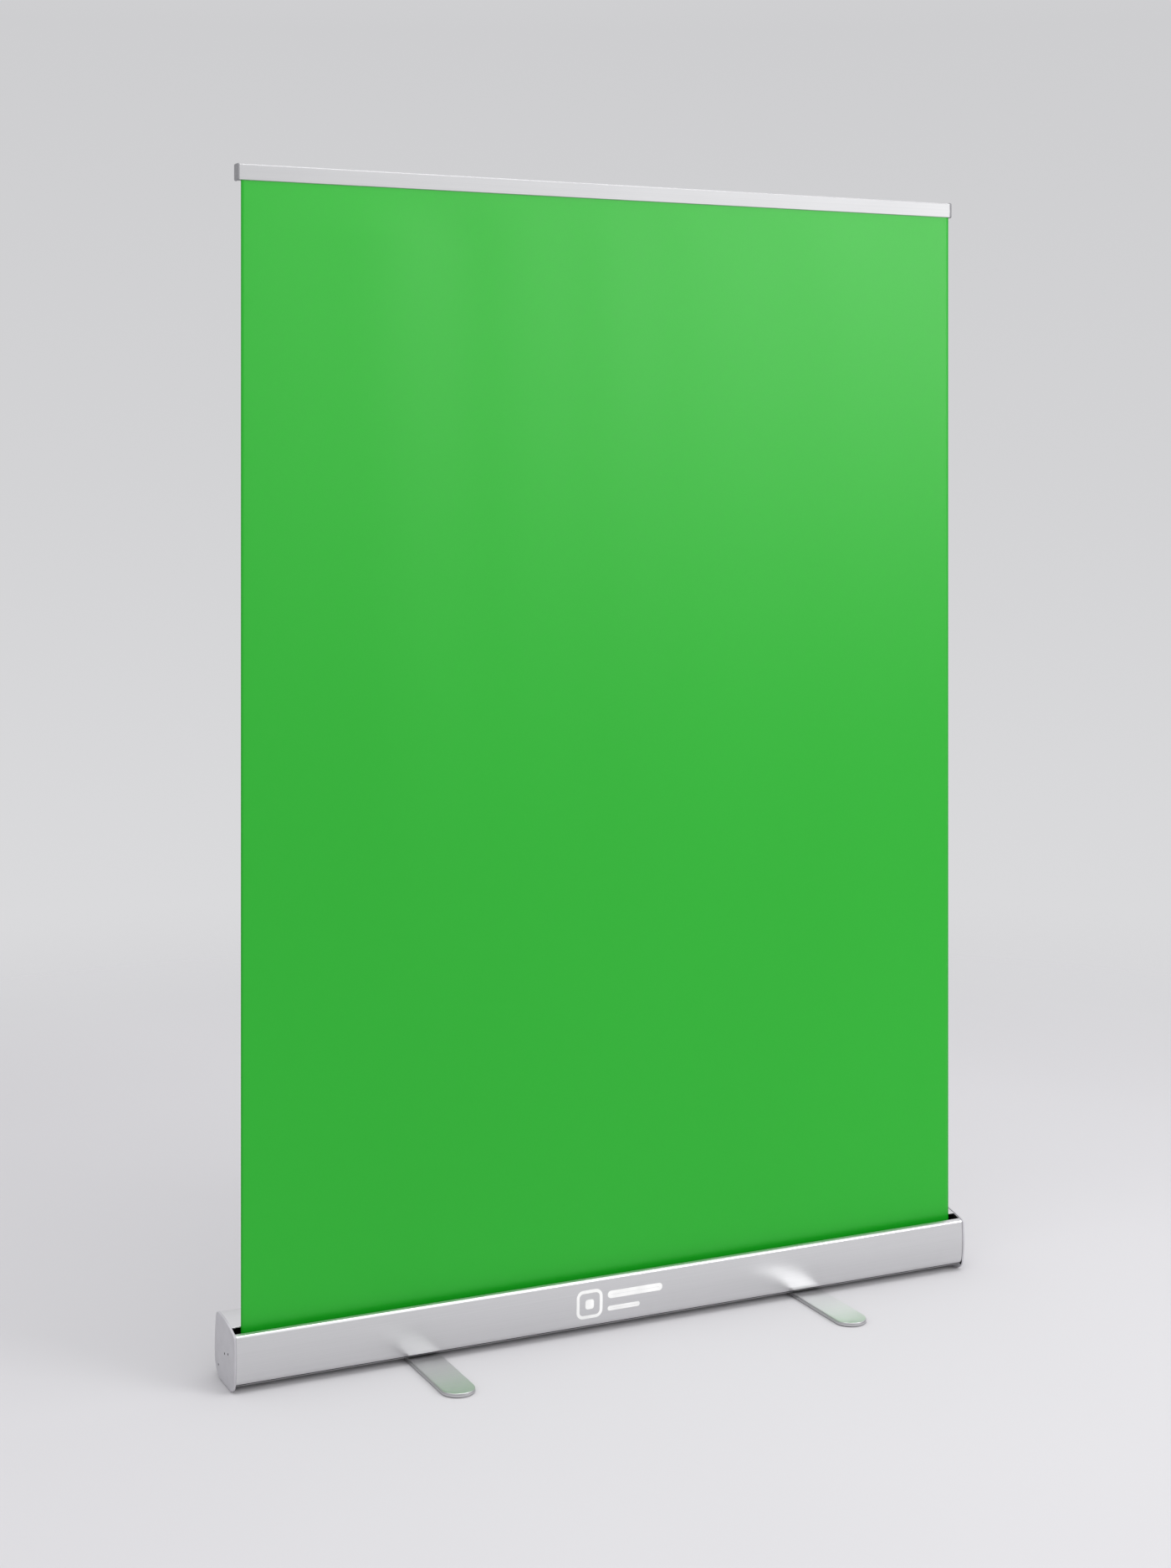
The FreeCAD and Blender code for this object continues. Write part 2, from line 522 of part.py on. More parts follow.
def make_foot_bar(side):
    """Flat aluminium foot with eased top edges, a groove round its side and a pivot hole."""
    bar = stadium(FOOT_LENGTH, FOOT_WIDTH, PAD_THICKNESS, FOOT_TOP_Z)
    bar = fillet_edges(bar, FOOT_EDGE_RADIUS, lambda e: e.BoundBox.ZMin > FOOT_TOP_Z - 1e-3)
    groove_z = PAD_THICKNESS + FOOT_GROOVE_RISE
    groove = stadium(FOOT_LENGTH + 2, FOOT_WIDTH + 2, groove_z, groove_z + FOOT_GROOVE_HEIGHT)
    groove = groove.cut(stadium(FOOT_LENGTH - 2 * FOOT_GROOVE_DEPTH, FOOT_WIDTH - 2 * FOOT_GROOVE_DEPTH,
                                groove_z - 1, groove_z + FOOT_GROOVE_HEIGHT + 1))
    bar = bar.cut(groove)
    bar = bar.cut(rod_z(PIVOT_BOLT_RADIUS + SLIDE_GAP, 0, 0, 0, FOOT_TOP_Z + 1))
    bar = bar.cut(rod_z(PIVOT_HEAD_RADIUS + SLIDE_GAP, 0, 0, 0,
                        PAD_THICKNESS + PIVOT_HEAD_HEIGHT + 2 * SLIDE_GAP))
    bar.translate(Vector(side * FOOT_X, 0, 0))
    return bar


def make_foot_pads(side):
    """Rubber pads under both ends of a foot."""
    pad = stadium(FOOT_LENGTH - 2 * PAD_INSET, FOOT_WIDTH - 2 * PAD_INSET, 0, PAD_THICKNESS)
    reach = FOOT_LENGTH / 2 - PAD_LENGTH
    pad = pad.cut(box(-FOOT_WIDTH, FOOT_WIDTH, -reach, reach, -1, PAD_THICKNESS + 1))
    pad.translate(Vector(side * FOOT_X, 0, 0))
    return Part.makeCompound(pad.Solids)


def make_pivot_bolt(side):
    """Low-headed bolt up through the foot into the nut inside the housing."""
    head_z = PAD_THICKNESS + SLIDE_GAP
    top_z = HOUSING_BOTTOM_Z + HOUSING_WALL + NUT_PLATE_THICKNESS + NUT_HEIGHT + 2.0
    head = rod_z(PIVOT_HEAD_RADIUS, side * FOOT_X, 0, head_z, head_z + PIVOT_HEAD_HEIGHT)
    shank = rod_z(PIVOT_BOLT_RADIUS, side * FOOT_X, 0, head_z, top_z)
    return head.fuse(shank).removeSplitter()


def make_pivot_washer(side):
    """Plastic thrust washer between the foot and the housing."""
    washer = ring(PIVOT_WASHER_RADIUS, PIVOT_BOLT_RADIUS + FIT_GAP, FOOT_TOP_Z + FIT_GAP,
                  HOUSING_BOTTOM_Z)
    washer.translate(Vector(side * FOOT_X, 0, 0))
    return washer


def make_nut_plate(side):
    """Steel plate inside the housing that spreads the load of the foot."""
    z0 = HOUSING_BOTTOM_Z + HOUSING_WALL
    plate = box(-NUT_PLATE_LENGTH / 2, NUT_PLATE_LENGTH / 2, -NUT_PLATE_WIDTH / 2,
                NUT_PLATE_WIDTH / 2, z0, z0 + NUT_PLATE_THICKNESS)
    plate = fillet_edges(plate, 5.0, lambda e: e.BoundBox.ZLength > NUT_PLATE_THICKNESS / 2)
    plate = plate.cut(rod_z(PIVOT_BOLT_RADIUS + FIT_GAP, 0, 0, z0 - 1, z0 + NUT_PLATE_THICKNESS + 1))
    plate.translate(Vector(side * FOOT_X, 0, 0))
    return plate


def make_pivot_nut(side):
    nut = hexagon_rod(NUT_ACROSS_FLATS, NUT_HEIGHT)
    nut = nut.cut(rod_z(PIVOT_BOLT_RADIUS + FIT_GAP / 2, 0, 0, -1, NUT_HEIGHT + 1))
    nut.translate(Vector(side * FOOT_X, 0, HOUSING_BOTTOM_Z + HOUSING_WALL + NUT_PLATE_THICKNESS))
    return nut


# ---- Top rail ----------------------------------------------------------------------------------
def make_rail_profile():
    """Channel open at the bottom, where the banner comes out behind the front wall."""
    rail = box(-HALF_RAIL, HALF_RAIL, RAIL_FRONT_Y, RAIL_BACK_Y, RAIL_BOTTOM_Z, RAIL_TOP_Z)
    for z, radius in ((RAIL_BOTTOM_Z, RAIL_EDGE_RADIUS), (RAIL_TOP_Z, RAIL_CORNER_RADIUS)):
        rail = fillet_edges(rail, radius, lambda e: e.BoundBox.XLength > HALF_RAIL
                            and abs(e.BoundBox.Center.z - z) < 1e-3)
    rail = rail.cut(box(-HALF_RAIL - 1, HALF_RAIL + 1, RAIL_FRONT_Y + RAIL_WALL,
                        RAIL_BACK_Y - RAIL_WALL, RAIL_BOTTOM_Z + RAIL_WALL, RAIL_TOP_Z - RAIL_WALL))
    return rail.cut(box(-HALF_RAIL - 1, HALF_RAIL + 1, RAIL_FRONT_Y + RAIL_WALL,
                        RAIL_FRONT_Y + RAIL_WALL + RAIL_MOUTH, RAIL_BOTTOM_Z - 1,
                        RAIL_BOTTOM_Z + RAIL_WALL + 1))


def make_clamp_strip():
    """Plastic strip that wedges the top of the banner against the rail's front wall."""
    half = HALF_RAIL - CLAMP_INSET
    z0 = RAIL_BOTTOM_Z + RAIL_WALL + FIT_GAP
    strip = box(-half, half, BANNER_Y + BANNER_THICKNESS / 2 + FIT_GAP, RAIL_BACK_Y - RAIL_WALL - FIT_GAP,
                z0, z0 + CLAMP_HEIGHT)
    return fillet_edges(strip, RAIL_EDGE_RADIUS, lambda e: e.BoundBox.XLength > half)


def make_rail_cap(side):
    """Plastic end cap with a spigot in the top of the rail, above the clamping strip."""
    plate = box(HALF_RAIL, HALF_RAIL + RAIL_CAP_THICKNESS,
                RAIL_FRONT_Y - RAIL_CAP_PROUD, RAIL_BACK_Y + RAIL_CAP_PROUD,
                RAIL_BOTTOM_Z - RAIL_CAP_PROUD, RAIL_TOP_Z + RAIL_CAP_PROUD)
    plate = fillet_edges(plate, RAIL_CORNER_RADIUS + RAIL_CAP_PROUD,
                         lambda e: e.BoundBox.XLength > RAIL_CAP_THICKNESS / 2)
    plate = fillet_edges(plate, RAIL_CORNER_RADIUS,
                         lambda e: e.BoundBox.XMin > HALF_RAIL + RAIL_CAP_THICKNESS - 1e-3)
    inset = RAIL_WALL + FIT_GAP
    spigot = box(HALF_RAIL - RAIL_CAP_SPIGOT, HALF_RAIL, RAIL_FRONT_Y + inset, RAIL_BACK_Y - inset,
                 RAIL_BOTTOM_Z + RAIL_WALL + CLAMP_HEIGHT + 3 * FIT_GAP, RAIL_TOP_Z - inset)
    return for_side(plate.fuse(spigot).removeSplitter(), side)


def make_rail_hook(side):
    """Block on the back of the rail, with a blind hole from below for the pole's pin."""
    x0 = side * POLE_X - HOOK_WIDTH / 2
    z0 = RAIL_TOP_Z - HOOK_HEIGHT
    block = box(x0, x0 + HOOK_WIDTH, RAIL_BACK_Y, RAIL_BACK_Y + HOOK_DEPTH, z0, RAIL_TOP_Z)
    block = fillet_edges(
        block, HOOK_CORNER_RADIUS,
        lambda e: e.BoundBox.ZLength > HOOK_HEIGHT / 2 and e.BoundBox.YMin > RAIL_BACK_Y + 1)
    return block.cut(rod_z(HOOK_PIN_RADIUS + SLIDE_GAP, side * POLE_X, POLE_Y, z0 - 1,
                           POLE_TOP_Z + HOOK_PIN_LENGTH + SLIDE_GAP))


def make_banner_sheet():
    """The pulled-out banner, from the roller's front tangent up behind the rail's front wall."""
    return box(-HALF_BANNER, HALF_BANNER, BANNER_Y - BANNER_THICKNESS / 2,
               BANNER_Y + BANNER_THICKNESS / 2, ROLLER_AXIS_Z,
               RAIL_BOTTOM_Z + RAIL_WALL + CLAMP_HEIGHT)


# ---- Poles -------------------------------------------------------------------------------------
def pole_tube(radius, z0, z1, side):
    return on_pole(ring(radius, radius - TUBE_WALL, z0, z1), side)


def make_lower_tube(side):
    return pole_tube(LOWER_TUBE_RADIUS, POLE_FOOT_Z, LOWER_TUBE_END, side)


def make_mid_tube(side):
    return pole_tube(MID_TUBE_RADIUS, MID_TUBE_START, MID_TUBE_END, side)


def make_upper_tube(side):
    return pole_tube(UPPER_TUBE_RADIUS, UPPER_TUBE_START, UPPER_TUBE_END, side)


def expander(radius, z):
    """Plug at the foot of a tube: a head as wide as the tube and a spigot inside it."""
    head = rod_z(radius, 0, 0, z - EXPANDER_LENGTH / 2, z)
    spigot = rod_z(radius - TUBE_WALL - FIT_GAP, 0, 0, z, z + EXPANDER_LENGTH)
    return head.fuse(spigot).removeSplitter()


def make_mid_expander(side):
    return on_pole(expander(MID_TUBE_RADIUS, MID_TUBE_START), side)


def make_upper_expander(side):
    return on_pole(expander(UPPER_TUBE_RADIUS, UPPER_TUBE_START), side)


def make_foot_plug(side):
    """End plug inside the lower tube, flush with its foot."""
    radius = LOWER_TUBE_RADIUS - TUBE_WALL - FIT_GAP
    return on_pole(rod_z(radius, 0, 0, POLE_FOOT_Z, POLE_FOOT_Z + EXPANDER_LENGTH), side)


def collar(outer_tube_radius, inner_tube_radius, outer_tube_end):
    """Twist-lock collar: it covers the end of the outer tube and closes round the inner one."""
    z0 = outer_tube_end - COLLAR_LENGTH / 2
    z1 = z0 + COLLAR_LENGTH
    body = rod_z(COLLAR_RADIUS, 0, 0, z0, z1)
    body = body.makeChamfer(COLLAR_CHAMFER, [e for e in body.Edges if e.BoundBox.ZLength < 1e-3])
    for n in range(COLLAR_GRIPS):
        angle = 2 * math.pi / COLLAR_GRIPS * n
        groove = rod_z(COLLAR_GRIP_RADIUS, COLLAR_RADIUS * math.cos(angle),
                       COLLAR_RADIUS * math.sin(angle), z0 + COLLAR_GRIP_INSET, z1 - COLLAR_GRIP_INSET)
        body = body.cut(groove)
    body = body.cut(rod_z(outer_tube_radius + FIT_GAP, 0, 0, z0 - 1, outer_tube_end + FIT_GAP))
    return body.cut(rod_z(inner_tube_radius + SLIDE_GAP, 0, 0, z0, z1 + 1))


def make_lower_collar(side):
    return on_pole(collar(LOWER_TUBE_RADIUS, MID_TUBE_RADIUS, LOWER_TUBE_END), side)


def make_upper_collar(side):
    return on_pole(collar(MID_TUBE_RADIUS, UPPER_TUBE_RADIUS, MID_TUBE_END), side)


def make_pole_head(side):
    """Moulded head on the upper tube: a spigot, a neck under the rail's hook and the hook pin."""
    spigot = rod_z(UPPER_TUBE_RADIUS - TUBE_WALL - FIT_GAP, 0, 0, UPPER_TUBE_END - EXPANDER_LENGTH,
                   UPPER_TUBE_END)
    neck = rod_z(UPPER_TUBE_RADIUS, 0, 0, UPPER_TUBE_END, POLE_TOP_Z)
    pin = rod_z(HOOK_PIN_RADIUS, 0, 0, POLE_TOP_Z, POLE_TOP_Z + HOOK_PIN_LENGTH - FIT_GAP)
    pin = pin.makeChamfer(1.0, [e for e in pin.Edges if e.BoundBox.ZMin > POLE_TOP_Z + 1])
    return on_pole(spigot.fuse(neck).fuse(pin).removeSplitter(), side)


def make_pole_socket(side):
    """Blind plastic sleeve for the foot of the pole, with a flange that saddles the housing's top."""
    rim_z = HOUSING_TOP_Z + SOCKET_COLLAR_HEIGHT
    sleeve = rod_z(LOWER_TUBE_RADIUS + SOCKET_WALL, 0, 0, POLE_FOOT_Z - FIT_GAP - SOCKET_FLOOR, rim_z)
    sleeve = sleeve.makeChamfer(1.0, [e for e in sleeve.Edges if e.BoundBox.ZMin > HOUSING_TOP_Z])
    flange_top_z = HOUSING_TOP_Z + SOCKET_FLANGE_THICKNESS
    flange = rod_z(SOCKET_FLANGE_RADIUS, 0, 0, housing_top(SLOT_BACK_Y) - HOUSING_WALL, flange_top_z)
    flange = flange.makeChamfer(1.0, [e for e in flange.Edges if e.BoundBox.ZMin > HOUSING_TOP_Z])
    saddle = prism(cassette_section(FIT_GAP), -SOCKET_FLANGE_RADIUS - 1, SOCKET_FLANGE_RADIUS + 1)
    saddle.translate(Vector(0, -POLE_Y, 0))
    bore = rod_z(LOWER_TUBE_RADIUS + FIT_GAP, 0, 0, POLE_FOOT_Z - FIT_GAP, rim_z + 1)
    socket = sleeve.fuse(flange.cut(saddle)).cut(bore)
    return on_pole(socket.removeSplitter(), side)


# ---- Every node --------------------------------------------------------------------------------
SINGLE_NODES = {
    "cassette_housing": make_housing,
    "end_cap_screws": make_end_cap_screws,
    "spring_spindle": make_spring_spindle,
    "winding_spring": make_winding_spring,
    "roller_tube": make_roller_tube,
    "spring_side_plug": make_spring_side_plug,
    "spring_drive_plug": make_drive_plug,
    "idler_plug": make_idler_plug,
    "idler_bush": make_idler_bush,
    "idler_pin": make_idler_pin,
    "banner_wound_turns": make_wound_banner,
    "banner_sheet": make_banner_sheet,
    "top_rail_profile": make_rail_profile,
    "banner_clamp_strip": make_clamp_strip,
}
SIDED_NODES = {
    "end_cap": make_end_cap,
    "axle_bracket": make_axle_bracket,
    "foot_bar": make_foot_bar,
    "foot_pads": make_foot_pads,
    "foot_pivot_bolt": make_pivot_bolt,
    "foot_thrust_washer": make_pivot_washer,
    "foot_nut_plate": make_nut_plate,
    "foot_pivot_nut": make_pivot_nut,
    "top_rail_cap": make_rail_cap,
    "rail_pole_hook": make_rail_hook,
    "pole_socket": make_pole_socket,
    "pole_foot_plug": make_foot_plug,
    "pole_lower_tube": make_lower_tube,
    "pole_mid_tube": make_mid_tube,
    "pole_upper_tube": make_upper_tube,
    "pole_mid_expander": make_mid_expander,
    "pole_upper_expander": make_upper_expander,
    "pole_lower_collar": make_lower_collar,
    "pole_upper_collar": make_upper_collar,
    "pole_head": make_pole_head,
}


def main():
    os.makedirs("parts", exist_ok=True)
    shapes = {name: make() for name, make in SINGLE_NODES.items()}
    for name, make in SIDED_NODES.items():
        for side_name, side in SIDES.items():
            shapes[f"{name}_{side_name}"] = make(side)
    for name, shape in shapes.items():
        shape.exportStep(f"parts/{name}.step")
        volume = shape.Volume / 1000
        print(f"{name}: {len(shape.Solids)} solid(s), valid {shape.isValid()}, {volume:.1f} cm3")
    print(f"{len(shapes)} nodes; lip {LIP_Z:.2f}, rail bottom {RAIL_BOTTOM_Z:.2f}, "
          f"roller axis ({ROLLER_AXIS_Y:.2f}, {ROLLER_AXIS_Z:.2f}), pole ({POLE_X:.2f}, {POLE_Y:.2f}), "
          f"tube ends {LOWER_TUBE_END:.2f} {MID_TUBE_END:.2f} {UPPER_TUBE_END:.2f}")


main()
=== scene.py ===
"""Looks for a wide roll-up banner stand: studio, camera, banner cloth and materials. Metres."""

import json
import math

import bmesh
import bpy
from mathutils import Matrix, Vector, noise


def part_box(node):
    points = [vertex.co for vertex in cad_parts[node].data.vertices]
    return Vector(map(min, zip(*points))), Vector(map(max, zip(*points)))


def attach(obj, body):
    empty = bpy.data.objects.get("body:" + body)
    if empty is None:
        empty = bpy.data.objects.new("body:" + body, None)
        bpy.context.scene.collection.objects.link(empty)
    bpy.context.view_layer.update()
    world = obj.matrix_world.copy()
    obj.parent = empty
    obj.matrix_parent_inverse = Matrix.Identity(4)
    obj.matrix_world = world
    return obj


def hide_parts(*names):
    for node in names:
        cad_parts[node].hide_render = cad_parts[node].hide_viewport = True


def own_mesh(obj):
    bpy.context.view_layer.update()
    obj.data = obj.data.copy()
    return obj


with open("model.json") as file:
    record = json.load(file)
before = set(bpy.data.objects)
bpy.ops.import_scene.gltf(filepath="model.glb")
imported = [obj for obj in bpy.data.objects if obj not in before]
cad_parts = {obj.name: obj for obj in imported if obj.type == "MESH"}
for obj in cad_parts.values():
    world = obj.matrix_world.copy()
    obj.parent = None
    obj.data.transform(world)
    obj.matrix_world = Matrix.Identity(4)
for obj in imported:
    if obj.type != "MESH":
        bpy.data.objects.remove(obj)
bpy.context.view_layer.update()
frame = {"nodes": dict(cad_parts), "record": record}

# ---- Camera and studio, in the part's own frame ------------------------------------------------
FRAME_HEIGHT = 1875            # rows of the picture frame
CAMERA_PLACE = (-2.0206, -4.1353, 1.6378)
CAMERA_YAW = math.radians(25.41)
FOCAL_PIXELS = 2859.0
HORIZON_ROW = 559.7
SENSOR = 36.0
FLOOR_FADE = (1.8, 4.8)        # radii between which the floor thins out
BACKDROP = (                   # direction's height, grey
    (0.22, 221), (0.36, 217), (0.50, 211), (0.68, 206), (0.98, 244),
)
LIGHTS = (                     # name, place, target, size, power
    ("key", (3.4, -4.2, 2.9), (0.1, 0, 1.2), (2.6, 2.4), 108),
    ("fill", (-4.5, -3.5, 2.6), (0, 0, 1.0), (3.0, 3.0), 15),
    ("overhead", (0.3, -0.9, 4.8), (0, 0, 0), (3.4, 1.8), 60),
)

# ---- Measures taken from the frame -------------------------------------------------------------
SHEET_LOW, SHEET_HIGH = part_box("banner_sheet")
RAIL_LOW, RAIL_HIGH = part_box("top_rail_profile")
HOUSING_LOW, HOUSING_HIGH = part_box("cassette_housing")
CROWN_RADIUS = 0.270           # of the cassette's front and roof
CROWN_MIDDLE_Z = 0.066         # height of the front's foremost line
ROOF_MIDDLE_Y = 0.030          # place of the roof's highest line
# Bounds of the test for the cassette's cavity, where shade is painted:
LOOK_AHEAD = 0.004             # how far off a face the test for the cavity is made
END_MARGIN = 0.0005            # the cavity's test stays this far inside the cassette's ends,
WALL_MARGIN = 0.003            # its front and back,
FLOOR_MARGIN = 0.002           # its underside,
ROOF_MARGIN = 0.0025           # and its roof


# ---- Node tree helpers -------------------------------------------------------------------------
class Nodes:
    """A material's node tree, built up by short calls."""

    def __init__(self, name):
        self.material = bpy.data.materials.new(name)
        self.material.use_nodes = True
        self.tree = self.material.node_tree
        self.shader = self.tree.nodes["Principled BSDF"]

    def set(self, **values):
        for name, value in values.items():
            self.shader.inputs[name.replace("_", " ")].default_value = value

    def add(self, kind, **settings):
        node = self.tree.nodes.new(kind)
        for name, value in settings.items():
            if hasattr(node, name):
                setattr(node, name, value)
            else:
                node.inputs[name.replace("_", " ")].default_value = value
        return node

    def link(self, source, target):
        self.tree.links.new(source, target)

    def place(self, scale=(1, 1, 1)):
        """Object coordinates, stretched by scale."""
        coordinates = self.add("ShaderNodeTexCoord")
        mapping = self.add("ShaderNodeMapping")
        mapping.inputs["Scale"].default_value = scale
        self.link(coordinates.outputs["Object"], mapping.inputs["Vector"])
        return mapping.outputs["Vector"]

    def noise(self, scale, stretch=(1, 1, 1), detail=2.0):
        node = self.add("ShaderNodeTexNoise", Scale=scale, Detail=detail)
        self.link(self.place(stretch), node.inputs["Vector"])
        return node.outputs["Fac"]

    def spread(self, value, low, high):
        """The value, from 0.3 to 0.7, spread over low to high."""
        node = self.add("ShaderNodeMapRange")
        for name, number in (("From Min", 0.3), ("From Max", 0.7), ("To Min", low), ("To Max", high)):
            node.inputs[name].default_value = number
        self.link(value, node.inputs["Value"])
        return node.outputs["Result"]

    def ramp(self, value, *stops):
        node = self.add("ShaderNodeValToRGB")
        elements = node.color_ramp.elements
        while len(elements) < len(stops):
            elements.new(0.5)
        for element, (position, color) in zip(elements, stops):
            element.position = position
            element.color = (*color, 1)
        self.link(value, node.inputs["Fac"])
        return node.outputs["Color"]

    def math(self, operation, first, second=0.0):
        """A Math node's result; each term is a socket or a number."""
        node = self.add("ShaderNodeMath", operation=operation)
        for term, socket in zip((first, second), node.inputs):
            if isinstance(term, (int, float)):
                socket.default_value = term
            else:
                self.link(term, socket)
        return node.outputs["Value"]

    def mix(self, share, first, second):
        """The colour first where share is 0, the colour second where it is 1."""
        node = self.add("ShaderNodeMix", data_type="RGBA")
        self.link(share, node.inputs["Factor"])
        self.link(first, node.inputs[6])
        node.inputs[7].default_value = (*second, 1)
        return node.outputs[2]

    def cavity_shade_mask(self):
        """1 on faces that look into the cassette's cavity, where the painted shade goes, 0 on the
        others.
        """
        coordinates = self.add("ShaderNodeTexCoord")
        ahead = self.add("ShaderNodeVectorMath", operation="MULTIPLY_ADD")
        ahead.inputs[1].default_value = (LOOK_AHEAD, LOOK_AHEAD, LOOK_AHEAD)
        self.link(coordinates.outputs["Normal"], ahead.inputs[0])
        self.link(coordinates.outputs["Object"], ahead.inputs[2])
        split = self.add("ShaderNodeSeparateXYZ")
        self.link(ahead.outputs["Vector"], split.inputs["Vector"])
        x, y, z = split.outputs
        across = self.math("SUBTRACT", y, ROOF_MIDDLE_Y)
        fall = self.math("DIVIDE", self.math("MULTIPLY", across, across), 2 * CROWN_RADIUS)
        tests = (
            self.math("LESS_THAN", self.math("ABSOLUTE", x), HOUSING_HIGH.x - END_MARGIN),
            self.math("GREATER_THAN", y, HOUSING_LOW.y + WALL_MARGIN),
            self.math("LESS_THAN", y, HOUSING_HIGH.y - WALL_MARGIN),
            self.math("GREATER_THAN", z, HOUSING_LOW.z + FLOOR_MARGIN),
            self.math("LESS_THAN", self.math("ADD", z, fall), HOUSING_HIGH.z - ROOF_MARGIN),
        )
        inside = tests[0]
        for test in tests[1:]:
            inside = self.math("MULTIPLY", inside, test)
        return inside

    def bump(self, height, distance, strength):
        node = self.add("ShaderNodeBump", Strength=strength, Distance=distance)
        self.link(height, node.inputs["Height"])
        self.link(node.outputs["Normal"], self.shader.inputs["Normal"])


# ---- Materials ---------------------------------------------------------------------------------
def linear(*srgb):
    """Linear colour of an sRGB colour given from 0 to 255."""
    parts = [c / 255 for c in srgb]
    return tuple(c / 12.92 if c <= 0.04045 else ((c + 0.055) / 1.055) ** 2.4 for c in parts)


# Painted shade: a near-black colour that stands in for the shadow inside the cassette's cavity.
CAVITY_SHADE_COLOR = linear(28, 28, 30)
WEAVE_SCALE = 900.0            # of the banner cloth's threads


def banner_material():
    """Knitted polyester: saturated green, a broad soft gloss, a fine even weave."""
    nodes = Nodes("green_banner")
    cloud = nodes.noise(1.6, (1.0, 1.0, 0.35), detail=1.0)
    color = nodes.ramp(cloud, (0.3, linear(13, 168, 24)), (0.7, linear(16, 171, 27)))
    nodes.link(color, nodes.shader.inputs["Base Color"])
    nodes.set(Roughness=0.36, Specular_IOR_Level=0.52)
    warp = nodes.add("ShaderNodeTexWave", bands_direction="X", Scale=WEAVE_SCALE)
    nodes.link(nodes.place(), warp.inputs["Vector"])
    weft = nodes.add("ShaderNodeTexWave", bands_direction="Z", Scale=WEAVE_SCALE)
    nodes.link(nodes.place(), weft.inputs["Vector"])
    nodes.bump(nodes.math("ADD", warp.outputs["Fac"], weft.outputs["Fac"]), 0.00004, 0.5)
    return nodes.material


def aluminium_material(name, grey, roughness, painted_cavity_shade=False):
    """Anodised extrusion: a trace of die lines along X, and if asked painted shade on the faces inside
    the cassette's cavity.
    """
    nodes = Nodes(name)
    lines = nodes.noise(60.0, (0.02, 14.0, 14.0), detail=3.0)
    cloud = nodes.noise(5.0, (0.4, 1.0, 1.0))
    darker, lighter = linear(grey, grey, grey + 1), linear(grey + 4, grey + 4, grey + 5)
    color = nodes.ramp(lines, (0.3, darker), (0.7, lighter))
    if painted_cavity_shade:
        # Painted shade: faces inside the cavity turn near-black and lose their metal.
        inside = nodes.cavity_shade_mask()
        color = nodes.mix(inside, color, CAVITY_SHADE_COLOR)
        nodes.link(nodes.math("SUBTRACT", 1.0, inside), nodes.shader.inputs["Metallic"])
    else:
        nodes.set(Metallic=1.0)
    nodes.link(color, nodes.shader.inputs["Base Color"])
    nodes.link(nodes.spread(cloud, roughness, roughness + 0.05), nodes.shader.inputs["Roughness"])
    nodes.bump(lines, 0.00003, 0.12)
    return nodes.material


def plastic_material(name, color, roughness, grain, painted_cavity_shade=False):
    """Moulded plastic with a fine spark-eroded texture, and if asked painted shade on the faces inside
    the cassette's cavity.
    """
    nodes = Nodes(name)
    cloud = nodes.noise(30.0)
    lighter = tuple(min(1.0, c * 1.12 + 0.003) for c in color)
    shade = nodes.ramp(cloud, (0.3, color), (0.7, lighter))
    if painted_cavity_shade:
        # Painted shade on the faces inside the cavity.
        shade = nodes.mix(nodes.cavity_shade_mask(), shade, CAVITY_SHADE_COLOR)
    nodes.link(shade, nodes.shader.inputs["Base Color"])
    nodes.link(nodes.spread(cloud, roughness, roughness + 0.07), nodes.shader.inputs["Roughness"])
    nodes.bump(nodes.noise(2600.0), grain, 0.6)
    return nodes.material


def steel_material():
    """Zinc-plated steel."""
    nodes = Nodes("plated_steel")
    cloud = nodes.noise(120.0)
    nodes.link(nodes.ramp(cloud, (0.3, linear(150, 152, 156)), (0.7, linear(178, 178, 180))),
               nodes.shader.inputs["Base Color"])
    nodes.link(nodes.spread(cloud, 0.28, 0.4), nodes.shader.inputs["Roughness"])
    nodes.set(Metallic=1.0)
    nodes.bump(nodes.noise(900.0), 0.00003, 0.4)
    return nodes.material


MATERIALS = {
    "green_banner": banner_material(),
    "anodised_aluminium": aluminium_material("anodised_aluminium", 214, 0.31),
    "satin_aluminium": aluminium_material("satin_aluminium", 188, 0.58),
    # Faces of this plastic inside the cassette's cavity get painted shade.
    "grey_plastic": plastic_material("grey_plastic", linear(181, 180, 184), 0.36, 0.00002,
                                     painted_cavity_shade=True),
    "dark_grey_plastic": plastic_material("dark_grey_plastic", linear(132, 132, 135), 0.42, 0.00002),
    "black_plastic": plastic_material("black_plastic", linear(28, 28, 30), 0.42, 0.00003),
    "white_plastic": plastic_material("white_plastic", linear(242, 242, 240), 0.4, 0.00001),
    "black_rubber": plastic_material("black_rubber", linear(22, 22, 22), 0.75, 0.00005),
    "plated_steel": steel_material(),
    "black_steel": plastic_material("black_steel", linear(38, 38, 40), 0.5, 0.00001),
}


FOOT_FINISH = aluminium_material("foot_aluminium", 198, 0.39)
OWN_FINISH = {                 # CAD nodes whose finish differs from the rest of their slot
    # The cassette gets painted shade inside its cavity.
    "cassette_housing": aluminium_material("cassette_aluminium_cavity_shade", 214, 0.31, painted_cavity_shade=True),
    "foot_bar_left": FOOT_FINISH,
    "foot_bar_right": FOOT_FINISH,
}


def dress_cad_nodes():
    """Gives each CAD node its own finish, or the one of its record slot."""
    for subpart in frame["record"]["subparts"]:
        name = subpart["node"]
        for material_slot in frame["nodes"][name].material_slots:
            material_slot.link = "OBJECT"
            material_slot.material = OWN_FINISH.get(name, MATERIALS[subpart["material_slot"]])


